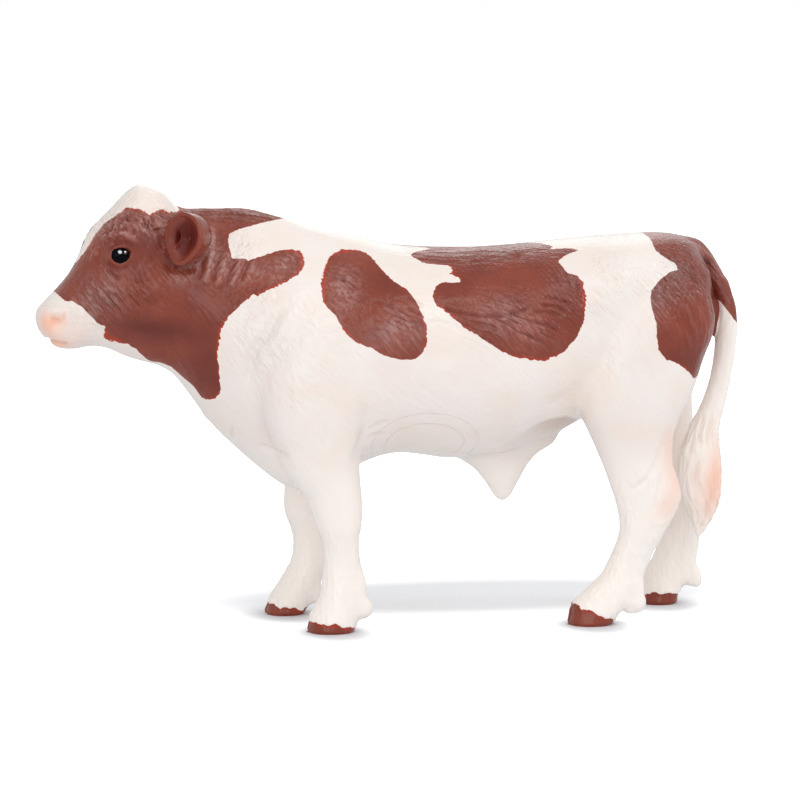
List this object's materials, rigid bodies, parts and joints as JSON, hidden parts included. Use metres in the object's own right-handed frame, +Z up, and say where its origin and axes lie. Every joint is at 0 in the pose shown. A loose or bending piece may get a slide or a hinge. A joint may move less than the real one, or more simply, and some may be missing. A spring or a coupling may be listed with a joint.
{
  "type": "toy farm animal figure",
  "caption": "Standing polled bull figure of cast soft plastic with painted patches, cloven hooves and a hanging tail, for pretend farm play.",
  "frame": {"origin": "on the floor below the middle of the figure's bounding box", "axes": "+Z up, -X towards the muzzle, -Y out of the left flank"},
  "size_m": [0.1424, 0.045, 0.088],
  "materials": {
    "cream_skin": "satin",
    "brown_paint": "satin",
    "eye_lacquer": "gloss"
  },
  "bodies": {
    "root": {"torso": "cream_skin", "head": "brown_paint", "ear_left": "brown_paint", "ear_right": "brown_paint", "eye_left": "eye_lacquer", "eye_right": "eye_lacquer", "fore_leg_left": "cream_skin", "fore_leg_right": "cream_skin", "hind_leg_left": "cream_skin", "hind_leg_right": "cream_skin", "tail": "cream_skin"}
  },
  "joints": []
}
